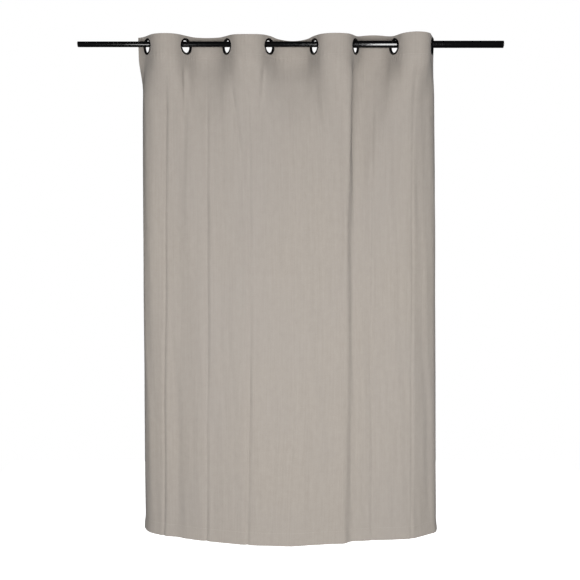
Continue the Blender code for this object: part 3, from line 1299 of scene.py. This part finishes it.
    def build(self) -> None:
        """Build the nine sections of the one sheet, each with its tape and stitching."""
        path, tape_path = self.section_path(), self.tape_path()
        for number in range(self.drape.count + 1):
            start, end = self.limits(number)
            columns = self.columns(start, end)
            holes = [i for i in (number - 1, number) if 0 <= i < self.drape.count]
            cloth = self.build_layer(f"curtain_section_{number + 1}", columns, path, self.cloth,
                                     self.linen, holes)
            tape = self.build_layer(f"stiffening_tape_{number + 1}", columns, tape_path, self.tape,
                                    self.ribbon, holes)
            self.settle(cloth, number)
            self.settle(tape, number)
            if number < self.drape.count:
                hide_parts(f"cloth_strip_{number + 1}")
                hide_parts(f"header_tape_{number + 1}")
            pieces = [tape] + self.build_stitching(number)
            if number in (0, self.drape.count):
                pieces.append(self.build_side_hem(number))
            width = (end - start) * self.drape.pitch

    def build_side_hem(self, number: int) -> bpy.types.Object:
        """Build the turned-in layer behind a side margin.

        In plan it runs along the back, and just before the edge it eases towards the front.

        Args:
            number: The margin's section.

        Returns:
            The piece.
        """
        right = number > 0
        edge = self.limits(number)[1 if right else 0]
        inward = -1.0 if right else 1.0
        radius = self.turn_up / 2
        ease = np.cos(np.linspace(0.0, math.pi / 2, 5))[1:]
        flat = np.linspace(self.side_hem, radius * 1.2, 9)
        away = np.concatenate((flat, radius * 0.2 * ease))
        behind = np.concatenate((np.full(len(flat), self.turn_up),
                                 self.turn_up - self.cloth * 0.5 * (1 - ease)))
        along = edge + inward * away / self.drape.pitch
        heights = np.arange(self.drape.hem + self.hem_depth + self.tape_inset,
                            self.facing_low - self.tape_inset, self.low_step)
        faces = (behind[None, :] + side.value * self.cloth / 2 for side in Side)
        grids = [self.drape.surface(along[None, :], heights[:, None], face) for face in faces]
        folded = (2 * edge - along[None, :]) * self.drape.pitch
        uv = np.stack(np.broadcast_arrays(folded, heights[:, None]), axis=-1).reshape(-1, 2)
        quads = shell_quads(np.ones((len(heights) - 1, len(along) - 1), bool))
        if right:
            quads = quads[:, ::-1]
        points = np.concatenate((grids[0].reshape(-1, 3), grids[1].reshape(-1, 3)))
        name = f"side_hem_{'right' if right else 'left'}"
        obj = make_mesh(name, points, quads, np.concatenate((uv, uv)))
        obj.data.materials.append(self.linen)
        self.settle(obj, number)
        return obj

    def stitch_rows(self, number: int) -> list[StitchRow]:
        """Return a section's rows: along the header and the hem, and down a side hem.

        Args:
            number: The section.

        Returns:
            The rows.
        """
        start, end = self.limits(number)
        count = max(2, int(round((end - start) * self.drape.pitch / self.stitch_pitch)))
        along = start + (np.arange(count) + 0.5) * (end - start) / count
        half = (end - start) / count * self.stitch_half_share
        header_z = self.facing_low + self.stitch_inset
        hem_z = self.drape.hem + self.hem_depth - self.stitch_inset
        rows = [StitchRow(along, np.full(count, header_z), half, 0.0, self.facing),
                StitchRow(along, np.full(count, hem_z), half, 0.0, self.turn_up)]
        if number in (0, self.drape.count):
            away = (self.side_hem - self.stitch_inset) / self.drape.pitch
            place = start + away if number == 0 else end - away
            z = np.arange(hem_z + self.stitch_pitch, header_z - self.stitch_pitch, self.stitch_pitch)
            rows.append(StitchRow(np.full(len(z), place), z, 0.0,
                                  self.stitch_pitch * self.stitch_half_share, self.turn_up))
        return rows

    def build_stitching(self, number: int) -> list[bpy.types.Object]:
        """Build the stitches of one section, on the room side and on the window side.

        Args:
            number: The section.

        Returns:
            The two pieces.
        """
        made = []
        for side in Side:
            first, second = [], []
            for row in self.stitch_rows(number):
                face = -self.cloth / 2 if side is Side.ROOM else row.layers + self.cloth / 2
                behind = np.full(len(row.z), face + side.value * self.thread_proud)
                first.append(self.drape.surface(row.along - row.across, row.z - row.up, behind))
                second.append(self.drape.surface(row.along + row.across, row.z + row.up, behind))
            piece = stitches(f"stitching_{side.name.lower()}_{number + 1}",
                             np.vstack(first), np.vstack(second), self.thread_radius)
            piece.data.materials.append(self.thread)
            self.settle(piece, number)
            made.append(piece)
        return made


# ------------------------------------------------------------------------------------------------
# Hardware
# ------------------------------------------------------------------------------------------------
@dataclass
class Eyelets:
    """The snap-together eyelets: a domed front ring with its barrel, and a back ring.

    The stack is half the thickness of what the two rings clamp, and middle is how far its
    middle lies behind the front layer's.
    """

    drape: Drape
    bore: float = 0.0203
    outer: float = 0.0275
    barrel: float = 0.0020
    lip: float = 0.0028
    stack: float = 0.00165
    hang: float = -0.0075
    middle: float = 0.00095
    gap: float = 0.0003
    steps: int = 96
    finish: GlossFinish = GlossFinish("eyelet_gloss_black", roughness=0.12, specular=0.4)

    def profiles(self) -> tuple[Array, Array]:
        """Return the front and back rings' outlines.

        The front ring's barrel runs back through the cloth and is curled over the back ring's
        bore. Each flange rises from its rim to a crown and falls again towards the bore.

        Returns:
            Both outlines as rows of (behind, radius).
        """
        half, crown = self.stack, self.stack + self.lip
        rim = half + self.lip * 0.4
        wall = self.bore + self.barrel
        flange = self.outer - self.bore
        shoulder = self.outer - flange * 0.38
        front = rounded((
            (-crown * 0.55, self.bore + 0.0002, 0.0012), (crown * 0.75, self.bore, 0.0004),
            (half + 0.0006, wall - 0.0005, 0.0004), (-half, wall, 0.0002),
            (-half, self.outer, 0.0003), (-half - self.lip * 0.45, self.outer, 0.0006),
            (-crown, shoulder, 0.0018), (-crown, self.bore + flange * 0.36, 0.0018),
        ))
        hold = wall + self.gap
        back = rounded((
            (half, hold, 0.0003), (half, self.outer, 0.0003), (rim, self.outer, 0.0006),
            (crown, shoulder, 0.0014), (crown, hold + 0.0010, 0.0006), (rim, hold, 0.0003),
        ))
        return front, back

    def build(self) -> None:
        """Build every eyelet in its flat facet."""
        gloss = self.finish.material()
        front, back = self.profiles()
        for index, (x, way) in enumerate(zip(self.drape.eyelet_x, self.drape.directions())):
            normal = np.array((-way[1], way[0], 0.0))
            centre = np.array((x, 0.0, self.hang)) + normal * self.middle
            number = index + 1
            ring = revolve(f"eyelet_ring_{number}", front, centre, normal, self.steps)
            lock = revolve(f"eyelet_lock_{number}", back, centre, normal, self.steps)
            for piece, node in ((ring, f"eyelet_front_{number}"), (lock, f"eyelet_back_{number}")):
                piece.data.materials.append(gloss)
                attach(piece, f"strip_{number}")
                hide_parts(node)
            LOG.info("eyelet %d at %.3f m", number, x)


@dataclass
class Rod:
    """The telescopic rod: two tubes, the sleeve between them and two end plugs."""

    wall: float = 0.0008
    ease: float = 0.0004
    tight_ease: float = 0.0001
    dish: float = 0.0004
    dish_share: float = 0.62
    rim_share: float = 0.70
    disc: float = 0.002
    plug_ease: float = 0.0006
    spigot_gap: float = 0.0003
    pole: float = 0.00005
    steps: int = 96
    finish: GlossFinish = GlossFinish("rod_gloss_black", roughness=0.10, specular=0.5)

    def tube(self, name: str, node: str, body: str, material: bpy.types.Material) -> None:
        """Build a smooth tube over a CAD tube's own extents, with eased ends.

        Args:
            name: The piece's name.
            node: The CAD node that it replaces.
            body: The body that it rides on.
            material: Its finish.
        """
        low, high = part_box(node)
        radius = (high.z - low.z) / 2
        inside = radius - self.wall
        outline = rounded(((low.x, inside, self.tight_ease), (high.x, inside, self.tight_ease),
                           (high.x, radius, self.ease), (low.x, radius, self.ease)))
        self.place(name, node, body, outline, material, "rod_black")

    def plug(self, name: str, node: str, body: str, inward: float, material: bpy.types.Material) -> None:
        """Build an end plug: an eased disc with a shallow dish, and its spigot.

        Args:
            name: The piece's name.
            node: The CAD node that it replaces.
            body: The body that it rides on.
            inward: 1 where the tube lies to the right of the plug's face, or -1.
            material: Its finish.
        """
        low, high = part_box(node)
        face, end = (low.x, high.x) if inward > 0 else (high.x, low.x)
        radius = (high.z - low.z) / 2
        spigot = radius - self.wall - self.spigot_gap
        dish, back = face + inward * self.dish, face + inward * self.disc
        outline = rounded((
            (dish, self.pole, 0.0), (dish, radius * self.dish_share, self.plug_ease),
            (face, radius * self.rim_share, 0.0005), (face, radius, self.plug_ease),
            (back, radius, self.tight_ease), (back, spigot, 0.0002),
            (end, spigot, self.plug_ease), (end, self.pole, 0.0)))
        if inward > 0:
            outline = outline[::-1]
        self.place(name, node, body, outline, material, "plastic_black")

    def place(self, name: str, node: str, body: str, outline: Array,
              material: bpy.types.Material, slot: str) -> None:
        """Turn an outline about the rod's axis and put it in its CAD node's place.

        Args:
            name: The piece's name.
            node: The CAD node that it replaces.
            body: The body that it rides on.
            outline: Rows of (along the rod, radius).
            material: Its finish.
            slot: The record's material slot; not used.
        """
        piece = revolve(name, outline, ORIGIN, ALONG_ROD, self.steps)
        piece.data.materials.append(material)
        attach(piece, body)
        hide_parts(node)
        LOG.info("%s built", name)

    def build(self) -> None:
        """Build the whole rod, and dress the guide sleeve, which keeps its CAD mesh."""
        lacquer = self.finish.material()
        plastic = PlasticFinish().material()
        self.tube("outer_tube", "rod_outer_tube", "rod", lacquer)
        self.tube("inner_tube", "rod_inner_tube", "rod_inner", lacquer)
        self.plug("end_plug_right", "rod_plug_right", "rod", -1.0, plastic)
        self.plug("end_plug_left", "rod_plug_left", "rod_inner", 1.0, plastic)
        sleeve = frame["nodes"]["rod_guide_sleeve"]
        sleeve.data.materials.clear()
        sleeve.data.materials.append(plastic)


@dataclass
class CareLabel:
    """The blank ribbon label behind the right side hem."""

    panel: Panel
    height: float = 0.045
    width: float = 0.030
    thickness: float = 0.0004
    above_hem: float = 0.180
    off_cloth: float = 0.0010
    curl: float = 0.0018

    def build(self) -> None:
        """Build the label: a thin sheet that stands a little off the cloth at its lower end."""
        drape = self.panel.drape
        middle = drape.count - 1 + drape.side / 2
        half = self.width / drape.pitch / 2
        columns = np.linspace(middle - half, middle + half, 13)
        low = drape.hem + self.above_hem
        z = np.linspace(low, low + self.height, 17)
        fallen = (low + self.height - z) / self.height
        away = self.panel.turn_up + self.off_cloth + self.curl * fallen ** 2
        piece = self.panel.build_layer("care_label_ribbon", columns, np.column_stack((away, z)),
                                       self.thickness, self.panel.ribbon)
        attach(piece, f"strip_{drape.count}")
        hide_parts("care_label")
        LOG.info("care label built")


# ------------------------------------------------------------------------------------------------
# Studio
# ------------------------------------------------------------------------------------------------
class Work(Enum):
    """What a studio light does."""

    SURFACES = "lights the surfaces"
    GLOSS = "is mirrored in the gloss"


@dataclass(frozen=True)
class SoftLight:
    """A rectangular light before or behind the cloth: its middle, width and height, and power."""

    name: str
    place: Triple
    size: tuple[float, float]
    power: float
    work: Work

    def build(self) -> None:
        """Add the light, looking straight at the cloth's front or back."""
        data = bpy.data.lights.new(self.name, "AREA")
        data.shape = "RECTANGLE"
        data.size, data.size_y = self.size
        data.energy = self.power
        obj = bpy.data.objects.new(self.name, data)
        obj.location = self.place
        obj.rotation_euler = (math.radians(90.0), 0.0, math.pi if self.place[1] > 0 else 0.0)
        obj.visible_diffuse = self.work is Work.SURFACES
        obj.visible_glossy = self.work is Work.GLOSS
        bpy.context.scene.collection.objects.link(obj)
        LOG.info("light %s: it %s", self.name, self.work.value)


@dataclass
class Studio:
    """Camera, pale floor and soft lights."""

    distance: float = 2.60
    camera_z: float = -0.485
    camera_pitch: float = 8.0
    lens: float = 45.4
    floor_z: float = -2.15
    floor_half: float = 1.7
    floor_grey: float = 0.92
    floor_glow: float = 0.70
    soft_base: float = 0.05
    soft_gain: float = 0.36
    flagged: float = 0.90
    lights: tuple[SoftLight, ...] = (
        SoftLight("key", (0.10, -3.4, -1.05), (1.60, 1.60), 144.0, Work.SURFACES),
        SoftLight("back_key", (-0.10, 3.4, -1.10), (1.60, 1.60), 110.0, Work.SURFACES),
        SoftLight("left_strip", (-1.08, -2.2, -1.05), (0.388, 1.60), 20.0, Work.GLOSS),
        SoftLight("right_strip", (0.53, -2.2, -0.80), (0.40, 2.30), 56.0, Work.GLOSS),
    )

    def camera(self) -> None:
        """Place the camera in front of the rod's middle, looking a little down."""
        data = bpy.data.cameras.new("camera")
        data.lens = self.lens
        data.sensor_width = 36.0
        data.clip_start, data.clip_end = 0.05, 100.0
        obj = bpy.data.objects.new("camera", data)
        obj.location = (0.0, -self.distance, self.camera_z)
        obj.rotation_euler = (math.radians(90.0 - self.camera_pitch), 0.0, 0.0)
        bpy.context.scene.collection.objects.link(obj)
        bpy.context.scene.camera = obj

    def floor(self) -> None:
        """Lay the pale floor, which glows faintly and throws no light back at the cloth."""
        half = self.floor_half
        points = np.array([(x, y, self.floor_z) for x, y in ((-half, -half), (half, -half),
                                                             (half, half), (-half, half))])
        floor = make_mesh("studio_floor", points, np.array(((0, 1, 2, 3),)))
        shader = Shader("pale_floor")
        shader.feed(Base_Color=rgba((self.floor_grey,) * 3), Roughness=0.8,
                    Emission_Color=WHITE, Emission_Strength=self.floor_glow)
        floor.data.materials.append(shader.material)
        floor.visible_diffuse = False
        floor.visible_glossy = False

    def world(self) -> None:
        """Light everything softly before a white background.

        The soft light is strongest from the front and the back, and falls to a small part at
        the sides and the top, as between dark flags: base plus gain times y squared. The gloss
        mirrors only the small part that isn't flagged, and the gloss lights.
        """
        world = bpy.data.worlds.new("studio")
        bpy.context.scene.world = world
        world.use_nodes = True
        tree = Tree(world.node_tree)
        _, y = tree.split(tree.node("ShaderNodeTexCoord", {}, {}, "Generated"))
        mirrored = tree.node("ShaderNodeLightPath", {}, {}, "Is Glossy Ray")
        strength = (y * y * self.soft_gain + self.soft_base) * (1.0 - mirrored * self.flagged)
        soft = tree.node("ShaderNodeBackground", {}, {"Color": WHITE, "Strength": strength})
        seen = tree.node("ShaderNodeBackground", {}, {"Color": WHITE, "Strength": 1.0})
        camera = tree.node("ShaderNodeLightPath", {}, {}, "Is Camera Ray")
        mix = tree.node("ShaderNodeMixShader", {}, {0: camera, 1: soft, 2: seen})
        tree.nodes.links.new(mix.socket, tree.nodes.nodes["World Output"].inputs["Surface"])

    def build(self) -> None:
        """Set up the whole studio."""
        bpy.context.scene.view_settings.view_transform = "Standard"
        self.camera()
        self.floor()
        self.world()
        for light in self.lights:
            light.build()


def main() -> None:
    """Build the studio, the rod, the eyelets, the curtain and its care label; the rod, eyelets, label and
    lights log as they are built.
    """
    logging.basicConfig(level=logging.INFO, format="%(name)s: %(message)s")
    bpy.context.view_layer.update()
    Studio().build()
    drape = Drape()
    Rod().build()
    Eyelets(drape).build()
    panel = Panel(drape)
    panel.build()
    CareLabel(panel).build()


with open("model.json") as file:
    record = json.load(file)
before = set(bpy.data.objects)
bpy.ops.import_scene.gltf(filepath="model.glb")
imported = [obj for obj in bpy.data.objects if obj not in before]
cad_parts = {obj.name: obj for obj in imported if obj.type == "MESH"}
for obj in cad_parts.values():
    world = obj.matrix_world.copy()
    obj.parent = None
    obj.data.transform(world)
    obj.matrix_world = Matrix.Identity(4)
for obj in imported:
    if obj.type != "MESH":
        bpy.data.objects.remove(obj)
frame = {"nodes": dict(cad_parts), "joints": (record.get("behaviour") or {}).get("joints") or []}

if __name__ == "__main__":
    main()
